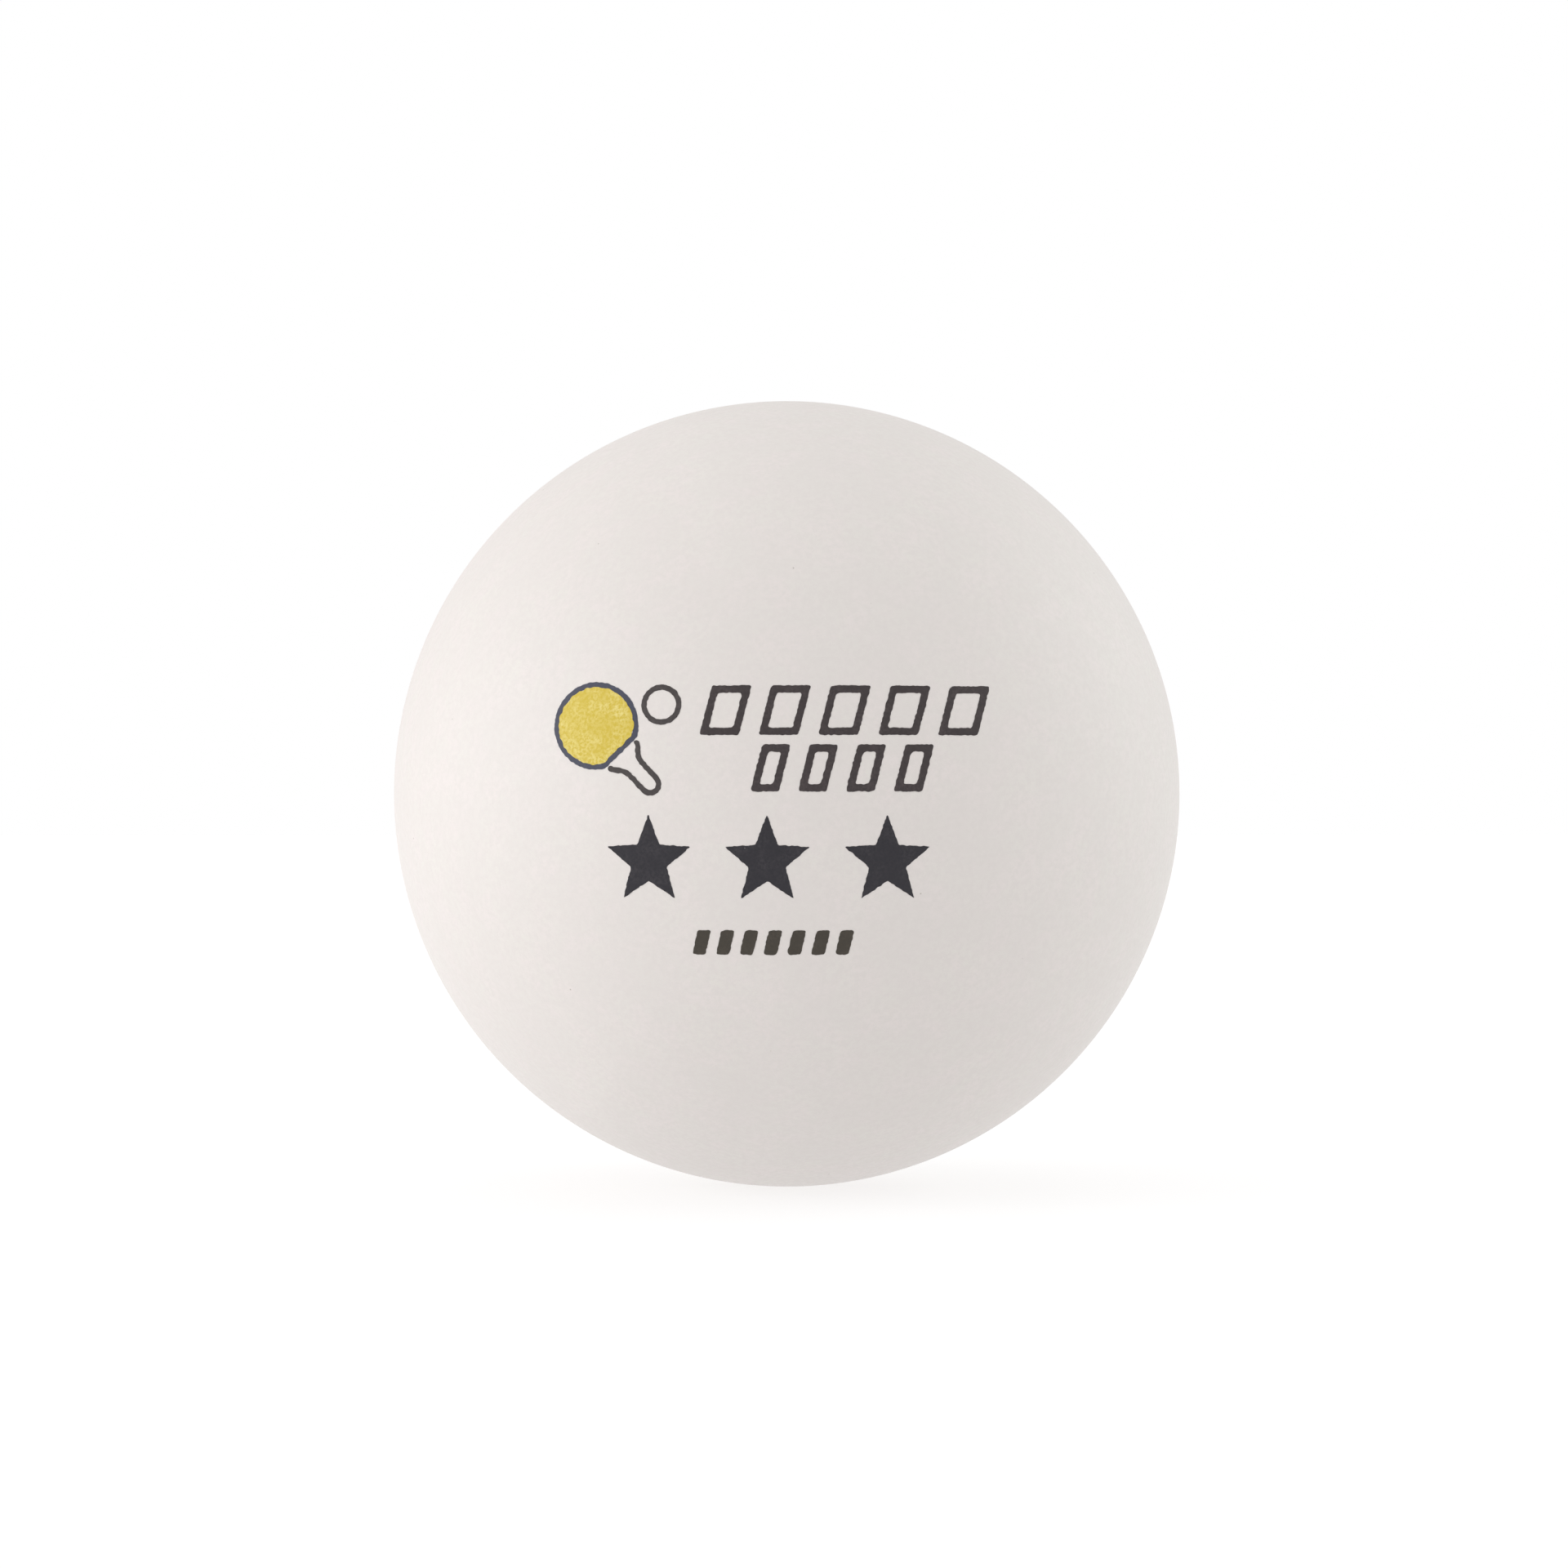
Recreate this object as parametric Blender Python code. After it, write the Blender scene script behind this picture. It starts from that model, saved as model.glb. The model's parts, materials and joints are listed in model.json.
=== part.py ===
"""A 40 mm table tennis ball: two plastic half shells, the cured bond between them, and the ink on the front.

The ball's centre is the origin. The seam lies in the plane y = 0. The print faces -Y, with +Z up.
"""

import math

import bmesh
import bpy

MM = 0.001

# The ball. The rules of the game fix its diameter and its mass of 2.7 g, and the wall follows from them.
BALL_RADIUS = 20.0 * MM
WALL = 0.50 * MM
INNER_RADIUS = BALL_RADIUS - WALL

# The seam. A lip on the front shell reaches into the rear shell, and the bond fills the line between them.
BOND_LINE = 0.12 * MM
BOND_CLEARANCE = 0.02 * MM
LIP_THICKNESS = 0.40 * MM
LIP_REACH = 1.20 * MM
LIP_ROOT = 1.20 * MM
LIP_TAPER = 0.60 * MM
LEAD_IN = 0.10 * MM
LIP_OUTER_RADIUS = INNER_RADIUS - BOND_LINE
LIP_INNER_RADIUS = LIP_OUTER_RADIUS - LIP_THICKNESS
SEAM_GROOVE = 0.02 * MM
BEAD_LENGTH = 0.32 * MM
BEAD_DEPTH = 0.24 * MM
BEAD_SHOULDER = 0.65
BOND_END = LIP_REACH + BEAD_LENGTH

# The facets of the turned pieces. All of them share one count, so that their facets stay parallel.
SEGMENTS = 56
SHELL_RINGS = 14
SEAM_RINGS = 2

# The ink. A pad lays it down along Y, so its outlines keep their size in the XZ plane.
INK_GAP = 0.008 * MM
INK_THICKNESS = 0.020 * MM
INK_FACET = 0.90 * MM
BLOCK_STROKE = 0.34 * MM
EMBLEM_STROKE = 0.25 * MM
SLANT = math.tan(math.radians(14))

STAR_COUNT = 3
STAR_PITCH = 5.60 * MM
STAR_RADIUS = 2.10 * MM
STAR_WAIST = 0.43
STAR_STRETCH = 1.033
STAR_HEIGHT = -3.10 * MM
STAR_POINTS = 5

# Rows of plain slanted blocks: count, width, height, gap, x of the row's middle, z of the row's middle.
TOP_ROW = (5, 2.34 * MM, 2.32 * MM, 0.44 * MM, 3.60 * MM, 3.95 * MM)
MIDDLE_ROW = (4, 1.78 * MM, 2.20 * MM, 0.44 * MM, 3.50 * MM, 1.25 * MM)
BOTTOM_ROW = (7, 0.92 * MM, 1.16 * MM, 0.20 * MM, 0.22 * MM, -6.93 * MM)

# The emblem: a bat, drawn along its own axis from the middle of the blade, and a ball beside it.
BLADE_CENTRE = (-8.16 * MM, 3.24 * MM)
BLADE_RADIUS = 1.95 * MM
BAT_TURN = math.radians(-46)
RUBBER_EDGE_ANGLE = math.radians(32)
RUBBER_INSET = 0.02 * MM
HANDLE_START = 0.05 * MM
HANDLE_NECK = 0.90 * MM
HANDLE_LENGTH = 1.10 * MM
HANDLE_HALF_WIDTH = 0.42 * MM
BLADE_STEPS = 24
HANDLE_STEPS = 4
NECK_STEPS = 6
EMBLEM_BALL_CENTRE = (-5.00 * MM, 4.22 * MM)
EMBLEM_BALL_RADIUS = 0.84 * MM
EMBLEM_BALL_STEPS = 18

WELD = 1e-7


def clear_scene():
    for thing in list(bpy.data.objects):
        bpy.data.objects.remove(thing, do_unlink=True)


def make_material(name, colour, roughness):
    material = bpy.data.materials.new(name)
    material.use_nodes = True
    shader = material.node_tree.nodes["Principled BSDF"]
    shader.inputs["Base Color"].default_value = (*colour, 1.0)
    shader.inputs["Roughness"].default_value = roughness
    shader.inputs["Metallic"].default_value = 0.0
    return material


def add_object(name, bm, material, parent):
    """Turns a bmesh into an object, with its normals out and its round sides shaded smooth."""
    bmesh.ops.remove_doubles(bm, verts=bm.verts, dist=WELD)
    bmesh.ops.recalc_face_normals(bm, faces=bm.faces)
    mesh = bpy.data.meshes.new(name)
    bm.to_mesh(mesh)
    bm.free()
    mesh.materials.append(material)
    mesh.shade_smooth()
    mesh.set_sharp_from_angle(angle=math.radians(30))
    thing = bpy.data.objects.new(name, mesh)
    thing.parent = parent
    bpy.context.scene.collection.objects.link(thing)
    return thing


# --- Turned pieces --------------------------------------------------------------------------------


def arc(radius, first_y, last_y, steps):
    """Points (distance from the axis, y) along a circle about the centre, from one y to another."""
    first, last = (math.asin(y / radius) for y in (first_y, last_y))
    angles = [first + (last - first) * i / steps for i in range(steps + 1)]
    return [(radius * math.cos(a), radius * math.sin(a)) for a in angles]


def turned(name, profile, closed, material, parent):
    """A solid turned about Y. An open profile starts and ends on the axis."""
    bm = bmesh.new()
    verts = [bm.verts.new((r, y, 0.0)) for r, y in profile]
    edges = [bm.edges.new(pair) for pair in zip(verts, verts[1:])]
    if closed:
        edges.append(bm.edges.new((verts[-1], verts[0])))
    bmesh.ops.spin(
        bm,
        geom=verts + edges,
        cent=(0.0, 0.0, 0.0),
        axis=(0.0, 1.0, 0.0),
        angle=math.tau,
        steps=SEGMENTS,
        use_merge=True,
    )
    return add_object(name, bm, material, parent)


def front_shell_profile():
    """From the outer pole to the rim, out and back along the lip, then inside to the inner pole."""
    rim = -BOND_LINE / 2
    outside = arc(BALL_RADIUS, -BALL_RADIUS, rim, SHELL_RINGS)
    lip_outside = arc(LIP_OUTER_RADIUS, rim, LIP_REACH, SEAM_RINGS)
    lip_inside = arc(LIP_INNER_RADIUS, LIP_REACH, -LIP_ROOT, SEAM_RINGS)
    inside = arc(INNER_RADIUS, -LIP_ROOT - LIP_TAPER, -INNER_RADIUS, SHELL_RINGS)
    return outside + lip_outside + lip_inside + inside


def rear_shell_profile():
    """From the outer pole to the rim, over a small lead-in for the lip, then to the inner pole."""
    rim = BOND_LINE / 2
    outside = arc(BALL_RADIUS, BALL_RADIUS, rim, SHELL_RINGS)
    over_bond = arc(INNER_RADIUS, rim + LEAD_IN, BOND_END, SEAM_RINGS + 1)
    inside = arc(INNER_RADIUS, BOND_END, INNER_RADIUS, SHELL_RINGS - 1)
    return outside + [(INNER_RADIUS + LEAD_IN, rim)] + over_bond[:-1] + inside


def bond_profile():
    """A thin web between the rims, a sleeve along the lip, and the bead squeezed out at the lip's end."""
    half_web = BOND_LINE / 2 - BOND_CLEARANCE
    web_edge = BALL_RADIUS - SEAM_GROOVE
    outer_radius = INNER_RADIUS - BOND_CLEARANCE
    inner_radius = LIP_OUTER_RADIUS + BOND_CLEARANCE
    bead_start = LIP_REACH + BOND_CLEARANCE
    sleeve_outside = arc(outer_radius, half_web, BOND_END, SEAM_RINGS + 1)
    sleeve_inside = arc(inner_radius, bead_start, -half_web, SEAM_RINGS)
    bead_root = sleeve_inside[0][0]
    bead = [
        (bead_root - BEAD_DEPTH * BEAD_SHOULDER, LIP_REACH + BEAD_LENGTH * BEAD_SHOULDER),
        (bead_root - BEAD_DEPTH, bead_start),
    ]
    return [(web_edge, -half_web), (web_edge, half_web)] + sleeve_outside + bead + sleeve_inside


# --- Ink outlines, as lists of (x, z) points ------------------------------------------------------


def ring_points(centre, radius, steps):
    angles = [math.tau * i / steps for i in range(steps)]
    return [(centre[0] + radius * math.cos(a), centre[1] + radius * math.sin(a)) for a in angles]


def star_outline(x):
    """A five-pointed star with one point up, a little taller than a regular one."""
    points = []
    for i in range(2 * STAR_POINTS):
        radius = STAR_RADIUS * (STAR_WAIST if i % 2 else 1.0)
        angle = math.pi / 2 + math.pi * i / STAR_POINTS
        height = STAR_STRETCH * radius * math.sin(angle)
        points.append((x + radius * math.cos(angle), STAR_HEIGHT + height))
    return points


def slanted_block(centre_x, centre_z, width, height):
    """A parallelogram that leans to the right, inside the stated width."""
    lean = height * SLANT
    half_base, half_height = (width - lean) / 2, height / 2
    return [
        (centre_x - half_base - lean / 2, centre_z - half_height),
        (centre_x + half_base - lean / 2, centre_z - half_height),
        (centre_x + half_base + lean / 2, centre_z + half_height),
        (centre_x - half_base + lean / 2, centre_z + half_height),
    ]


def on_bat(along, across):
    """A point of the bat, from its place along and across the bat's own axis."""
    c, s = math.cos(BAT_TURN), math.sin(BAT_TURN)
    return (BLADE_CENTRE[0] + along * c - across * s, BLADE_CENTRE[1] + along * s + across * c)


def blade_outline(radius):
    """The round blade, cut straight across where the handle starts."""
    edge = BLADE_RADIUS * math.cos(RUBBER_EDGE_ANGLE) - (BLADE_RADIUS - radius)
    first = math.acos(edge / radius)
    angles = [first + (math.tau - 2 * first) * i / BLADE_STEPS for i in range(BLADE_STEPS + 1)]
    return [on_bat(radius * math.cos(a), radius * math.sin(a)) for a in angles]


def handle_outline():
    """The handle's open outline: a neck that eases in from the blade, straight sides and a round end."""
    start = BLADE_RADIUS * math.cos(RUBBER_EDGE_ANGLE) + EMBLEM_STROKE / 2 + HANDLE_START
    shoulder = BLADE_RADIUS * math.sin(RUBBER_EDGE_ANGLE) - EMBLEM_STROKE / 2
    end = start + HANDLE_NECK + HANDLE_LENGTH
    upper, lower = [], []
    for i in range(NECK_STEPS + 1):
        part = i / NECK_STEPS
        half = HANDLE_HALF_WIDTH + (shoulder - HANDLE_HALF_WIDTH) * (1 + math.cos(math.pi * part)) / 2
        upper.append(on_bat(start + HANDLE_NECK * part, half))
        lower.insert(0, on_bat(start + HANDLE_NECK * part, -half))
    angles = [math.pi / 2 - math.pi * i / (2 * HANDLE_STEPS) for i in range(2 * HANDLE_STEPS + 1)]
    rounded = [
        on_bat(end + HANDLE_HALF_WIDTH * math.cos(a), HANDLE_HALF_WIDTH * math.sin(a)) for a in angles
    ]
    return upper + rounded + lower


# --- Ink films ------------------------------------------------------------------------------------


def stroke_sides(points, width, closed):
    """The two edges of a line of ink of even width along the points, mitred at its corners."""
    count = len(points)
    sides = ([], [])
    for i, (x, z) in enumerate(points):
        before = points[i - 1] if closed or i > 0 else points[i]
        after = points[(i + 1) % count] if closed or i < count - 1 else points[i]
        normals = []
        for a, b in ((before, (x, z)), ((x, z), after)):
            length = math.dist(a, b)
            if length > 0:
                normals.append(((a[1] - b[1]) / length, (b[0] - a[0]) / length))
        nx, nz = (sum(n[k] for n in normals) / len(normals) for k in (0, 1))
        reach = width / 2 / (nx * nx + nz * nz)
        sides[0].append((x + nx * reach, z + nz * reach))
        sides[1].append((x - nx * reach, z - nz * reach))
    return sides


def flat_stroke(bm, points, width, closed):
    sides = stroke_sides(points, width, closed)
    left, right = ([bm.verts.new((x, 0.0, z)) for x, z in side] for side in sides)
    last = len(points) if closed else len(points) - 1
    for i in range(last):
        j = (i + 1) % len(points)
        bm.faces.new((left[i], left[j], right[j], right[i]))


def flat_patch(bm, points):
    bm.faces.new([bm.verts.new((x, 0.0, z)) for x, z in points])


def cut_into_facets(bm):
    """Cuts the flat ink along a grid, so that it can follow the ball."""
    cuts = range(-int(BALL_RADIUS / INK_FACET), int(BALL_RADIUS / INK_FACET) + 1)
    for normal in ((1.0, 0.0, 0.0), (0.0, 0.0, 1.0)):
        for i in cuts:
            plane = [n * i * INK_FACET for n in normal]
            geometry = bm.verts[:] + bm.edges[:] + bm.faces[:]
            bmesh.ops.bisect_plane(bm, geom=geometry, dist=WELD, plane_co=plane, plane_no=normal)
    bmesh.ops.triangulate(bm, faces=bm.faces)


def lay_on_ball(bm):
    """Drops the flat ink along Y onto the front of the ball and gives it its thickness."""
    foot = BALL_RADIUS + INK_GAP
    for vert in bm.verts:
        vert.co.y = -math.sqrt(foot**2 - vert.co.x**2 - vert.co.z**2)
    raised = bmesh.ops.extrude_face_region(bm, geom=bm.faces[:], use_keep_orig=True)["geom"]
    for vert in (g for g in raised if isinstance(g, bmesh.types.BMVert)):
        vert.co *= (foot + INK_THICKNESS) / foot


def ink(name, points, material, parent, stroke=None, closed=True):
    """One separate patch of ink: a filled shape, or a line of the stated width along its outline."""
    bm = bmesh.new()
    if stroke:
        flat_stroke(bm, points, stroke, closed)
    else:
        flat_patch(bm, points)
    cut_into_facets(bm)
    lay_on_ball(bm)
    return add_object(name, bm, material, parent)


def block_row(name, row, material, parent, stroke=None):
    """A row of slanted blocks, drawn as outlines where a stroke is given."""
    count, width, height, gap, middle_x, middle_z = row
    inset = stroke or 0.0
    for i in range(count):
        x = middle_x + (i - (count - 1) / 2) * (width + gap)
        outline = slanted_block(x, middle_z, width - inset, height - inset)
        ink(f"{name}_{i + 1}", outline, material, parent, stroke)


# --- The ball -------------------------------------------------------------------------------------


def build():
    clear_scene()
    ball = bpy.data.objects.new("ball_centre", None)
    bpy.context.scene.collection.objects.link(ball)

    shell = make_material("shell_plastic", (0.80, 0.78, 0.76), 0.55)
    adhesive = make_material("bond_adhesive", (0.72, 0.68, 0.60), 0.35)
    dark_ink = make_material("ink_dark", (0.050, 0.046, 0.052), 0.50)
    olive_ink = make_material("ink_olive", (0.075, 0.066, 0.052), 0.50)
    navy_ink = make_material("ink_navy", (0.075, 0.085, 0.145), 0.50)
    yellow_ink = make_material("ink_yellow", (0.78, 0.62, 0.11), 0.50)

    turned("front_half_shell", front_shell_profile(), False, shell, ball)
    turned("rear_half_shell", rear_shell_profile(), False, shell, ball)
    turned("seam_bond", bond_profile(), True, adhesive, ball)

    for i in range(STAR_COUNT):
        x = (i - (STAR_COUNT - 1) / 2) * STAR_PITCH
        ink(f"print_star_{i + 1}", star_outline(x), dark_ink, ball)
    block_row("print_top_block", TOP_ROW, dark_ink, ball, BLOCK_STROKE)
    block_row("print_middle_block", MIDDLE_ROW, dark_ink, ball, BLOCK_STROKE)
    block_row("print_bottom_block", BOTTOM_ROW, olive_ink, ball)

    rubber = blade_outline(BLADE_RADIUS - EMBLEM_STROKE / 2 - RUBBER_INSET)
    ball_outline = ring_points(EMBLEM_BALL_CENTRE, EMBLEM_BALL_RADIUS, EMBLEM_BALL_STEPS)
    ink("print_bat_rubber", rubber, yellow_ink, ball)
    ink("print_bat_blade", blade_outline(BLADE_RADIUS), navy_ink, ball, EMBLEM_STROKE)
    ink("print_bat_handle", handle_outline(), dark_ink, ball, EMBLEM_STROKE, closed=False)
    ink("print_emblem_ball", ball_outline, dark_ink, ball, EMBLEM_STROKE)


build()
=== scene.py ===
"""The looks of a white table tennis ball with pad-printed quality stars.

Fine half shells with a nearly flush seam, ink films with slightly uneven edges, a matte tumbled surface,
and a plain pale studio. All lengths are in metres, in the frame of the CAD model.
"""

import json
import math

import bmesh
import bpy
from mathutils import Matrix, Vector, noise


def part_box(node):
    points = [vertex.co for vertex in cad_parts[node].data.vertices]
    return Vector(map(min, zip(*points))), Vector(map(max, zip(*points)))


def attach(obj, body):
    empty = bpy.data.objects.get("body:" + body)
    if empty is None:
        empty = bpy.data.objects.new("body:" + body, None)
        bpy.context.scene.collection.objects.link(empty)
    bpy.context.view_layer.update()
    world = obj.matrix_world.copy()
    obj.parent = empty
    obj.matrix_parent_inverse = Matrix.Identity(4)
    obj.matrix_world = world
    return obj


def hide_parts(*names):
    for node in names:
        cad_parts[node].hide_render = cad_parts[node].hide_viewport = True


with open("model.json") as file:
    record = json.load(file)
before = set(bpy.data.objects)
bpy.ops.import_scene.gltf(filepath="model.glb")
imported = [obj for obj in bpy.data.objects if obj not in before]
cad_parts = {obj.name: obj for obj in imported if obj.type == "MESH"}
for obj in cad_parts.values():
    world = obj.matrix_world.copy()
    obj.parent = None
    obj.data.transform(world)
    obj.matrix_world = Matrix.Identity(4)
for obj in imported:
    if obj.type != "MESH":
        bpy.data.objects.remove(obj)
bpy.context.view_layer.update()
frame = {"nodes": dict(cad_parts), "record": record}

MM = 0.001

# The ball. The radius comes from the CAD model, and the wall and the joint repeat its dimensions.
BALL_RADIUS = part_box("front_half_shell")[1].x
WALL = 0.50 * MM
INNER_RADIUS = BALL_RADIUS - WALL
BOND_LINE = 0.12 * MM
LIP_THICKNESS = 0.40 * MM
LIP_REACH = 1.20 * MM
LIP_ROOT = 1.20 * MM
LIP_TAPER = 0.60 * MM
LIP_OUTER_RADIUS = INNER_RADIUS - BOND_LINE
LIP_INNER_RADIUS = LIP_OUTER_RADIUS - LIP_THICKNESS
BEAD_LENGTH = 0.32 * MM
BEAD_DEPTH = 0.24 * MM
LEAD_IN = 0.10 * MM
RIM_ROUNDING = 0.03 * MM

# The bond fills its gap but for a hair, and its crowned edge lies just below the ball's surface.
BOND_FIT = 0.002 * MM
BOND_RECESS = 0.008 * MM
BOND_CROWN = 0.006 * MM

# How finely the turned pieces are cut.
SEGMENTS = 256
OUTSIDE_RINGS = 96
INSIDE_RINGS = 32
SEAM_RINGS = 4
RIM_STEPS = 3
BEAD_STEPS = 5

# The ink films. The yellow is printed over the inner edge of its outline: it is thicker and a little larger.
INK_FOOT = BALL_RADIUS + 0.003 * MM
INK_THICKNESS = 0.010 * MM
OVERPRINT_THICKNESS = 0.020 * MM
OVERPRINT_GROWTH = 1.020
INK_FACET = 0.30 * MM

# The edges of the ink: the corners are rounded in a number of passes, and then the line moves in and out
# in waves, which have a height and a length and are read from one level of a noise in space.
OUTLINE_STEP = 0.05 * MM
STAR_SOFTENING = 2
LINE_SOFTENING = 8
EDGE_WAVE = (0.034 * MM, 0.15 * MM)
YELLOW_EDGE_WAVE = (0.065 * MM, 0.20 * MM)
NOISE_LEVEL = 0.37

# How a CAD film's outer faces, and the corners of its outline, are told from the rest.
OUTWARD_COSINE = 0.9
CORNER_SINE = 0.02

# Edges that turn by more than this stay sharp, and points that are closer than this become one.
SHARP_ANGLE = math.radians(35)
WELD = 1e-7

# The camera looks straight along the table at the ball, from a little to the right of the print.
CAMERA_AZIMUTH = math.radians(2.7)
CAMERA_LENS = 100.0
CAMERA_DISTANCE = 222.7 * MM
CAMERA_LEFT = 0.14 * MM
CAMERA_UP = 0.50 * MM


# --- Meshes ---------------------------------------------------------------------------------------


def add_piece(name, bm, material, node):
    """Turns a bmesh into a piece that stands for one CAD node and rides on the ball."""
    bmesh.ops.remove_doubles(bm, verts=bm.verts, dist=WELD)
    bmesh.ops.recalc_face_normals(bm, faces=bm.faces)
    mesh = bpy.data.meshes.new(name)
    bm.to_mesh(mesh)
    bm.free()
    mesh.materials.append(material)
    mesh.shade_smooth()
    mesh.set_sharp_from_angle(angle=SHARP_ANGLE)
    piece = bpy.data.objects.new(name, mesh)
    bpy.context.scene.collection.objects.link(piece)
    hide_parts(node)
    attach(piece, "root")
    return piece


def arc(radius, first_y, last_y, steps):
    """Points (distance from the axis, y) along a circle about the centre, from one y to another."""
    first, last = (math.asin(max(-1.0, min(1.0, y / radius))) for y in (first_y, last_y))
    angles = [first + (last - first) * i / steps for i in range(steps + 1)]
    return [(radius * math.cos(a), radius * math.sin(a)) for a in angles]


def turned(profile, closed):
    """A solid turned about Y. An open profile starts and ends on the axis."""
    bm = bmesh.new()
    verts = [bm.verts.new((r, y, 0.0)) for r, y in profile]
    edges = [bm.edges.new(pair) for pair in zip(verts, verts[1:])]
    if closed:
        edges.append(bm.edges.new((verts[-1], verts[0])))
    bmesh.ops.spin(
        bm,
        geom=verts + edges,
        cent=(0.0, 0.0, 0.0),
        axis=(0.0, 1.0, 0.0),
        angle=math.tau,
        steps=SEGMENTS,
        use_merge=True,
    )
    return bm


def rounded_rim(side):
    """The shell's outer edge at the seam, from the outside to the rim. The side is -1 on the front shell."""
    rim = BOND_LINE / 2
    points = []
    for i in range(RIM_STEPS + 1):
        turn = math.pi / 2 * i / RIM_STEPS
        r = BALL_RADIUS - RIM_ROUNDING * (1 - math.cos(turn))
        points.append((r, side * (rim + RIM_ROUNDING * (1 - math.sin(turn)))))
    return points


def front_shell():
    """From the outer pole to the rim, out and back along the lip, then inside to the inner pole."""
    rim = -BOND_LINE / 2
    outside = arc(BALL_RADIUS, -BALL_RADIUS, rim - RIM_ROUNDING, OUTSIDE_RINGS)
    lip_outside = arc(LIP_OUTER_RADIUS, rim, LIP_REACH, SEAM_RINGS)
    lip_inside = arc(LIP_INNER_RADIUS, LIP_REACH, -LIP_ROOT, SEAM_RINGS)
    inside = arc(INNER_RADIUS, -LIP_ROOT - LIP_TAPER, -INNER_RADIUS, INSIDE_RINGS)
    return turned(outside[:-1] + rounded_rim(-1) + lip_outside + lip_inside + inside, False)


def rear_shell():
    """From the outer pole to the rim, over a small lead-in for the lip, then to the inner pole."""
    rim = BOND_LINE / 2
    outside = arc(BALL_RADIUS, BALL_RADIUS, rim + RIM_ROUNDING, OUTSIDE_RINGS)
    lead_in = [(INNER_RADIUS + LEAD_IN, rim)]
    inside = arc(INNER_RADIUS, rim + LEAD_IN, INNER_RADIUS, INSIDE_RINGS)
    return turned(outside[:-1] + rounded_rim(1) + lead_in + inside, False)


def seam_bond():
    """The web that shows as the seam line, the sleeve along the lip, and the round bead at its end."""
    half_web = BOND_LINE / 2 - BOND_FIT
    outer_radius = INNER_RADIUS - BOND_FIT
    inner_radius = LIP_OUTER_RADIUS + BOND_FIT
    bead_start = LIP_REACH + BOND_FIT
    bead_end = LIP_REACH + BEAD_LENGTH
    crown_radius = BALL_RADIUS - BOND_RECESS
    edge_radius = crown_radius - BOND_CROWN
    web = [(edge_radius, -half_web), (crown_radius, 0.0), (edge_radius, half_web)]
    sleeve_outside = arc(outer_radius, half_web, bead_end, SEAM_RINGS)
    sleeve_inside = arc(inner_radius, bead_start, -half_web, SEAM_RINGS)
    root = sleeve_inside[0][0]
    bead = []
    for i in range(1, BEAD_STEPS + 1):
        turn = math.pi / 2 * i / BEAD_STEPS
        bead.append((root - BEAD_DEPTH * math.sin(turn), bead_start + BEAD_LENGTH * math.cos(turn)))
    return turned(web + sleeve_outside + bead + sleeve_inside, True)


# --- Ink outlines ---------------------------------------------------------------------------------


def cad_outlines(node):
    """The closed outlines of a CAD ink film, as lists of (x, z) points at the ball's surface."""
    bm = bmesh.new()
    bm.from_mesh(frame["nodes"][node].data)
    bmesh.ops.remove_doubles(bm, verts=bm.verts, dist=WELD)
    outer = [f for f in bm.faces if f.normal.dot(f.calc_center_median().normalized()) > OUTWARD_COSINE]
    follows = {}
    for face in outer:
        for loop in face.loops:
            if sum(f in outer for f in loop.edge.link_faces) == 1:
                follows[loop.vert] = loop.link_loop_next.vert
    outlines = []
    while follows:
        start = vert = next(iter(follows))
        points = []
        while vert in follows:
            surface = vert.co.normalized() * BALL_RADIUS
            points.append(Vector((surface.x, surface.z)))
            vert = follows.pop(vert)
        assert vert is start, f"the outline of {node} isn't closed"
        outlines.append(only_corners(points))
    bm.free()
    return outlines


def only_corners(points):
    """The points of a closed outline where it turns."""
    kept = []
    for i, point in enumerate(points):
        before = (point - points[i - 1]).normalized()
        after = (points[(i + 1) % len(points)] - point).normalized()
        if abs(before.cross(after)) > CORNER_SINE:
            kept.append(point)
    return kept


def evenly_spaced(points):
    """The closed outline again, with a point about every OUTLINE_STEP."""
    spaced = []
    for a, b in zip(points, points[1:] + points[:1]):
        steps = max(1, round((b - a).length / OUTLINE_STEP))
        spaced += [a.lerp(b, i / steps) for i in range(steps)]
    return spaced


def softened(points, passes):
    """Rounds the corners, a little more with each pass."""
    for _ in range(passes):
        points = [
            (points[i - 1] + 2 * point + points[(i + 1) % len(points)]) / 4
            for i, point in enumerate(points)
        ]
    return points


def uneven(points, wave):
    """Moves each point in or out along a wave of the stated height and length."""
    wave_height, length = wave
    moved = []
    for i, point in enumerate(points):
        along = (points[(i + 1) % len(points)] - points[i - 1]).normalized()
        rise = noise.noise(Vector((point.x / length, NOISE_LEVEL, point.y / length)))
        moved.append(point + Vector((along.y, -along.x)) * rise * wave_height)
    return moved


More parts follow.
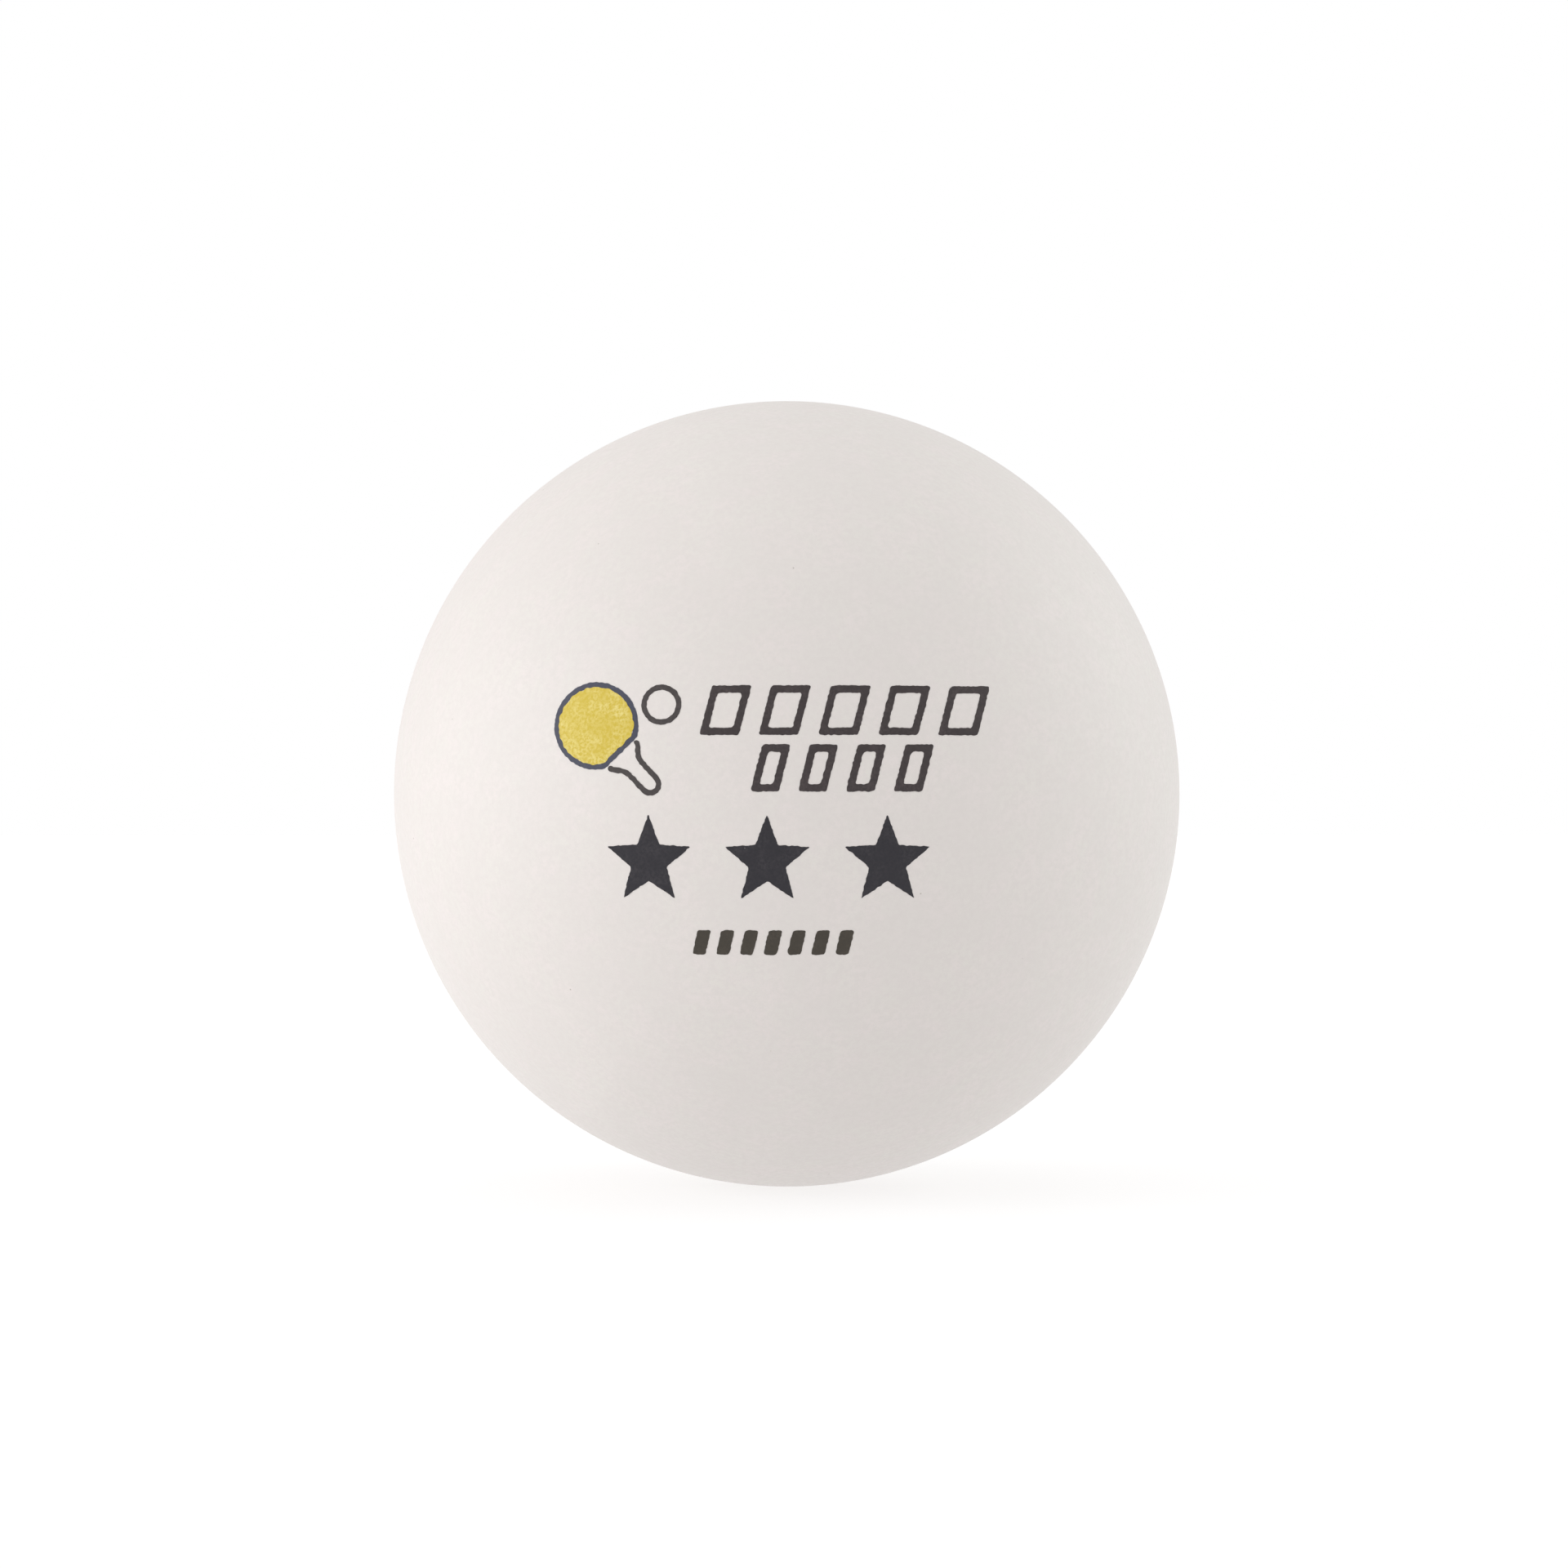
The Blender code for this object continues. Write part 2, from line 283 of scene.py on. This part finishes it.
def ink_film(node, softening, wave, growth=1.0, thickness=INK_THICKNESS):
    """A thin closed film in the shape of the CAD node, with ink's rounded corners and uneven edge."""
    bm = bmesh.new()
    for outline in cad_outlines(node):
        points = uneven(softened(evenly_spaced(outline), softening), wave)
        middle = sum(points, Vector((0.0, 0.0))) / len(points)
        grown = [middle + (point - middle) * growth for point in points]
        verts = [bm.verts.new((p.x, 0.0, p.y)) for p in grown]
        for a, b in zip(verts, verts[1:] + verts[:1]):
            bm.edges.new((a, b))
    bmesh.ops.triangle_fill(bm, use_beauty=True, edges=bm.edges[:], normal=(0.0, -1.0, 0.0))
    cut_into_facets(bm)
    for vert in bm.verts:
        vert.co.y = -math.sqrt(INK_FOOT**2 - vert.co.x**2 - vert.co.z**2)
    raised = bmesh.ops.extrude_face_region(bm, geom=bm.faces[:], use_keep_orig=True)["geom"]
    for vert in (g for g in raised if isinstance(g, bmesh.types.BMVert)):
        vert.co *= (INK_FOOT + thickness) / INK_FOOT
    return bm


def cut_into_facets(bm):
    """Cuts the flat film along a grid, so that it can follow the ball."""
    for axis in (0, 2):
        normal = [float(k == axis) for k in range(3)]
        first = math.floor(min(v.co[axis] for v in bm.verts) / INK_FACET)
        last = math.ceil(max(v.co[axis] for v in bm.verts) / INK_FACET)
        for i in range(first + 1, last):
            plane = [n * i * INK_FACET for n in normal]
            geometry = bm.verts[:] + bm.edges[:] + bm.faces[:]
            bmesh.ops.bisect_plane(bm, geom=geometry, dist=WELD, plane_co=plane, plane_no=normal)
    bmesh.ops.triangulate(bm, faces=bm.faces)


# --- Materials ------------------------------------------------------------------------------------


class Nodes:
    """Short calls for the few node types that the materials need."""

    def __init__(self, name):
        self.material = bpy.data.materials.new(name)
        self.material.use_nodes = True
        self.tree = self.material.node_tree
        self.shader = self.tree.nodes["Principled BSDF"]
        self.place = self.tree.nodes.new("ShaderNodeTexCoord").outputs["Object"]

    def link(self, source, target):
        self.tree.links.new(source, target)

    def moved(self, scale, rotation):
        """The place on the ball, scaled and then turned."""
        mapping = self.tree.nodes.new("ShaderNodeMapping")
        self.link(self.place, mapping.inputs["Vector"])
        mapping.inputs["Rotation"].default_value = rotation
        mapping.inputs["Scale"].default_value = scale
        return mapping.outputs["Vector"]

    def noise(self, size, detail=2.0, roughness=0.5, vector=None):
        """Noise whose blobs are about the stated size, in metres."""
        node = self.tree.nodes.new("ShaderNodeTexNoise")
        self.link(vector or self.place, node.inputs["Vector"])
        node.inputs["Scale"].default_value = 1.0 / size
        node.inputs["Detail"].default_value = detail
        node.inputs["Roughness"].default_value = roughness
        return node.outputs["Fac"]

    def spread(self, value, low, high, to_low=0.0, to_high=1.0):
        """Maps low..high onto to_low..to_high, clamped and smooth at both ends."""
        node = self.tree.nodes.new("ShaderNodeMapRange")
        node.interpolation_type = "SMOOTHSTEP"
        self.link(value, node.inputs["Value"])
        node.inputs["From Min"].default_value = low
        node.inputs["From Max"].default_value = high
        node.inputs["To Min"].default_value = to_low
        node.inputs["To Max"].default_value = to_high
        return node.outputs["Result"]

    def math(self, operation, a, b):
        """One operation on two values, each a number or another node's output."""
        node = self.tree.nodes.new("ShaderNodeMath")
        node.operation = operation
        for socket, value in zip(node.inputs, (a, b)):
            if isinstance(value, float):
                socket.default_value = value
            else:
                self.link(value, socket)
        return node.outputs["Value"]

    def mix(self, factor, a, b):
        """Mixes two colours, each a tuple or another node's output."""
        node = self.tree.nodes.new("ShaderNodeMix")
        node.data_type = "RGBA"
        self.link(factor, node.inputs["Factor"])
        for socket, value in ((node.inputs[6], a), (node.inputs[7], b)):
            if isinstance(value, tuple):
                socket.default_value = (*value, 1.0)
            else:
                self.link(value, socket)
        return node.outputs[2]

    def bump(self, height, distance, normal=None):
        """Relief of the stated depth, in metres, where the height goes from 0 to 1."""
        node = self.tree.nodes.new("ShaderNodeBump")
        node.inputs["Strength"].default_value = 1.0
        node.inputs["Distance"].default_value = distance
        self.link(height, node.inputs["Height"])
        if normal:
            self.link(normal, node.inputs["Normal"])
        return node.outputs["Normal"]

    def specks(self, spacing, radius, share):
        """1 inside a few small round specks: one in each chosen cell of about the stated spacing."""
        node = self.tree.nodes.new("ShaderNodeTexVoronoi")
        self.link(self.place, node.inputs["Vector"])
        node.inputs["Scale"].default_value = 1.0 / spacing
        near = self.spread(node.outputs["Distance"], 0.5 * radius / spacing, radius / spacing, 1.0, 0.0)
        split = self.tree.nodes.new("ShaderNodeSeparateColor")
        self.link(node.outputs["Color"], split.inputs["Color"])
        chosen = self.math("GREATER_THAN", split.outputs["Red"], 1.0 - share)
        return self.math("MULTIPLY", near, chosen)


# The relief of the tumbled surface, how deep it is on each material, and the shells' hairline marks.
GRAIN_SIZE = 0.11 * MM
UNEVENNESS_SIZE = 0.42 * MM
SHELL_GRAIN_DEPTH = 0.0040 * MM
BOND_GRAIN_DEPTH = 0.0020 * MM
INK_GRAIN_DEPTH = 0.0045 * MM
MARK_WIDTH = 0.05 * MM
MARK_STRETCH = 14.0
MARK_DEPTH = 0.0012 * MM
MARK_GLOSS = 0.12
MARK_TURNS = ((0.3, 0.2, 0.5), (0.9, 0.1, 2.1))

# In a pinhole the plastic shows through what is left of the ink.
PLASTIC_COLOUR = (0.80, 0.78, 0.76)
PINHOLE_PLASTIC = 0.45


def grain_relief(nodes, depth):
    """The tumbled surface: fine grain over a shallow coarser unevenness."""
    coarse = nodes.bump(nodes.noise(UNEVENNESS_SIZE, 1.0), 0.5 * depth)
    return nodes.bump(nodes.noise(GRAIN_SIZE, 3.0, 0.6), depth, coarse)


def hairline_marks(nodes):
    """1 along faint hairline marks, which run along Y. Each turn reads another part of the noise."""
    marks = None
    for turn in MARK_TURNS:
        stretched = nodes.moved((1.0, 1.0 / MARK_STRETCH, 1.0), turn)
        lines = nodes.spread(nodes.noise(MARK_WIDTH, 0.0, vector=stretched), 0.78, 0.86)
        marks = lines if marks is None else nodes.math("MAXIMUM", marks, lines)
    return marks


def shell_material():
    """White moulded ABS, tumbled matte: fine grain, faint mottling, hairline marks and a few specks."""
    nodes = Nodes("tumbled_white_plastic")
    pink, cream, shade = (0.882, 0.828, 0.802), (0.867, 0.839, 0.793), (0.846, 0.808, 0.776)
    dull, dust = (0.838, 0.797, 0.766), (0.56, 0.52, 0.47)
    tint = nodes.mix(nodes.spread(nodes.noise(1.3 * MM, 2.0), 0.35, 0.65), pink, cream)
    mottle = nodes.spread(nodes.noise(2.6 * MM, 3.0), 0.35, 0.65, 0.0, 0.60)
    grain = nodes.spread(nodes.noise(0.30 * MM, 3.0, 0.80), 0.32, 0.68)
    grained = nodes.mix(grain, nodes.mix(mottle, tint, shade), dull)
    specks = nodes.specks(1.2 * MM, 0.060 * MM, 0.10)
    nodes.link(nodes.mix(specks, grained, dust), nodes.shader.inputs["Base Color"])

    marks = hairline_marks(nodes)
    rough = nodes.spread(nodes.noise(0.30 * MM, 2.0), 0.30, 0.70, 0.46, 0.60)
    polished = nodes.math("SUBTRACT", rough, nodes.math("MULTIPLY", marks, MARK_GLOSS))
    relief = nodes.bump(marks, -MARK_DEPTH, grain_relief(nodes, SHELL_GRAIN_DEPTH))
    nodes.link(polished, nodes.shader.inputs["Roughness"])
    nodes.link(relief, nodes.shader.inputs["Normal"])
    nodes.shader.inputs["IOR"].default_value = 1.53
    return nodes.material


def bond_material():
    """Cured adhesive, almost flush with the shells: a little yellower and glossier than the plastic."""
    nodes = Nodes("cured_bond")
    tone = nodes.spread(nodes.noise(0.8 * MM, 2.0), 0.35, 0.65)
    colour = nodes.mix(tone, (0.760, 0.700, 0.645), (0.810, 0.750, 0.700))
    rough = nodes.spread(nodes.noise(0.3 * MM, 2.0), 0.3, 0.7, 0.30, 0.48)
    nodes.link(colour, nodes.shader.inputs["Base Color"])
    nodes.link(rough, nodes.shader.inputs["Roughness"])
    nodes.link(grain_relief(nodes, BOND_GRAIN_DEPTH), nodes.shader.inputs["Normal"])
    nodes.shader.inputs["IOR"].default_value = 1.50
    return nodes.material


def ink_material(name, thick, thin, pinholes):
    """Pad-printed ink, mottled between a thick and a thin tone. A share of its cells have a pinhole."""
    nodes = Nodes(name)
    cover = nodes.spread(nodes.noise(0.14 * MM, 3.0, 0.65), 0.36, 0.66)
    clouds = nodes.spread(nodes.noise(0.9 * MM, 2.0), 0.35, 0.70, 0.35, 1.0)
    body = nodes.mix(nodes.math("MULTIPLY", cover, clouds), thick, thin)
    holes = nodes.specks(0.34 * MM, 0.030 * MM, pinholes)
    pairs = zip(PLASTIC_COLOUR, thin)
    hole_colour = tuple(PINHOLE_PLASTIC * p + (1.0 - PINHOLE_PLASTIC) * t for p, t in pairs)
    nodes.link(nodes.mix(holes, body, hole_colour), nodes.shader.inputs["Base Color"])
    nodes.link(nodes.spread(cover, 0.0, 1.0, 0.42, 0.58), nodes.shader.inputs["Roughness"])
    nodes.link(grain_relief(nodes, INK_GRAIN_DEPTH), nodes.shader.inputs["Normal"])
    nodes.shader.inputs["IOR"].default_value = 1.46
    return nodes.material


# --- The ball -------------------------------------------------------------------------------------


def build_shells_and_bond():
    shell = shell_material()
    add_piece("front_shell", front_shell(), shell, "front_half_shell")
    add_piece("rear_shell", rear_shell(), shell, "rear_half_shell")
    add_piece("seam", seam_bond(), bond_material(), "seam_bond")


def ink_materials():
    """The inks, each under the word in the names of the nodes that it is for."""
    inks = {
        "star": ink_material("solid_ink", (0.012, 0.0105, 0.017), (0.037, 0.033, 0.040), 0.10),
        "top": ink_material("line_ink", (0.040, 0.030, 0.031), (0.070, 0.054, 0.055), 0.06),
        "emblem": ink_material("fine_line_ink", (0.052, 0.043, 0.042), (0.085, 0.073, 0.071), 0.06),
        "bottom": ink_material("olive_ink", (0.043, 0.035, 0.024), (0.068, 0.056, 0.041), 0.06),
        "blade": ink_material("navy_ink", (0.052, 0.058, 0.092), (0.082, 0.086, 0.126), 0.06),
        "rubber": ink_material("yellow_ink", (0.700, 0.530, 0.045), (0.880, 0.750, 0.250), 0.08),
    }
    inks["middle"] = inks["top"]
    inks["handle"] = inks["emblem"]
    return inks


def build_print():
    inks = ink_materials()
    for part in frame["record"]["subparts"]:
        node, slot = part["node"], part["material_slot"]
        if not node.startswith("print_"):
            continue
        if slot == "ink_yellow":
            film = ink_film(node, LINE_SOFTENING, YELLOW_EDGE_WAVE, OVERPRINT_GROWTH, OVERPRINT_THICKNESS)
        elif "star" in node:
            film = ink_film(node, STAR_SOFTENING, EDGE_WAVE)
        else:
            film = ink_film(node, LINE_SOFTENING, EDGE_WAVE)
        ink = next(inks[word] for word in node.split("_") if word in inks)
        add_piece(node.replace("print", "ink"), film, ink, node)


# --- The studio -----------------------------------------------------------------------------------

# Soft lamps: name, the direction that the light comes from, strength and colour.
LAMPS = (
    ("left", (-1.0, 0.0, 0.02), 0.77, (1.0, 0.995, 0.990)),
    ("front_left", (-0.90, -0.35, 0.10), 0.62, (1.0, 0.995, 0.990)),
    ("back_right", (0.92, 0.35, 0.28), 0.60, (0.92, 1.0, 0.97)),
    ("top", (0.0, 0.0, 1.0), 0.16, (0.95, 1.0, 1.0)),
)
LAMP_ANGLE = math.radians(60)
WORLD_STRENGTH = 0.75
WORLD_COLOUR = (1.0, 0.984, 0.986)
TABLE_SIZE = 3.0
TABLE_COLOUR = (0.50, 0.50, 0.50)
TABLE_GLOW = 0.56
WHITE = (1.0, 1.0, 1.0, 1.0)


def build_table():
    """A plain pale table with a glow of its own. The studio's even light stands for what it bounces."""
    bm = bmesh.new()
    bmesh.ops.create_grid(bm, x_segments=8, y_segments=8, size=TABLE_SIZE / 2)
    mesh = bpy.data.meshes.new("table_top")
    bm.to_mesh(mesh)
    bm.free()
    nodes = Nodes("white_table")
    nodes.shader.inputs["Base Color"].default_value = (*TABLE_COLOUR, 1.0)
    nodes.shader.inputs["Roughness"].default_value = 0.9
    nodes.shader.inputs["Emission Color"].default_value = WHITE
    nodes.shader.inputs["Emission Strength"].default_value = TABLE_GLOW
    mesh.materials.append(nodes.material)
    table_top = bpy.data.objects.new("table_top", mesh)
    table_top.location.z = -BALL_RADIUS
    table_top.visible_diffuse = False
    bpy.context.scene.collection.objects.link(table_top)


def build_lamps():
    for name, direction, strength, colour in LAMPS:
        light = bpy.data.lights.new(name, "SUN")
        light.energy = strength
        light.color = colour
        light.angle = LAMP_ANGLE
        lamp = bpy.data.objects.new(name, light)
        lamp.rotation_mode = "QUATERNION"
        lamp.rotation_quaternion = Vector(direction).to_track_quat("Z", "Y")
        bpy.context.scene.collection.objects.link(lamp)


def build_world():
    """Even light from all round, and plain white where the camera looks past the ball."""
    world = bpy.data.worlds.new("studio")
    world.use_nodes = True
    tree = world.node_tree
    light = tree.nodes["Background"]
    light.inputs["Color"].default_value = (*WORLD_COLOUR, 1.0)
    light.inputs["Strength"].default_value = WORLD_STRENGTH
    seen = tree.nodes.new("ShaderNodeBackground")
    seen.inputs["Color"].default_value = WHITE
    path = tree.nodes.new("ShaderNodeLightPath")
    mix = tree.nodes.new("ShaderNodeMixShader")
    tree.links.new(path.outputs["Is Camera Ray"], mix.inputs["Fac"])
    tree.links.new(light.outputs["Background"], mix.inputs[1])
    tree.links.new(seen.outputs["Background"], mix.inputs[2])
    tree.links.new(mix.outputs["Shader"], tree.nodes["World Output"].inputs["Surface"])
    bpy.context.scene.world = world


def build_camera():
    """A level camera. Back is the direction from the ball to the camera."""
    back = Vector((math.sin(CAMERA_AZIMUTH), -math.cos(CAMERA_AZIMUTH), 0.0))
    up = Vector((0.0, 0.0, 1.0))
    right = up.cross(back)
    optics = bpy.data.cameras.new("camera")
    optics.lens = CAMERA_LENS
    optics.clip_start = 0.01
    optics.clip_end = 10.0
    camera = bpy.data.objects.new("camera", optics)
    camera.location = back * CAMERA_DISTANCE - right * CAMERA_LEFT + up * CAMERA_UP
    camera.rotation_mode = "QUATERNION"
    camera.rotation_quaternion = (-back).to_track_quat("-Z", "Y")
    bpy.context.scene.collection.objects.link(camera)
    bpy.context.scene.camera = camera


build_shells_and_bond()
build_print()
build_table()
build_lamps()
build_world()
build_camera()
bpy.context.scene.view_settings.view_transform = "Standard"
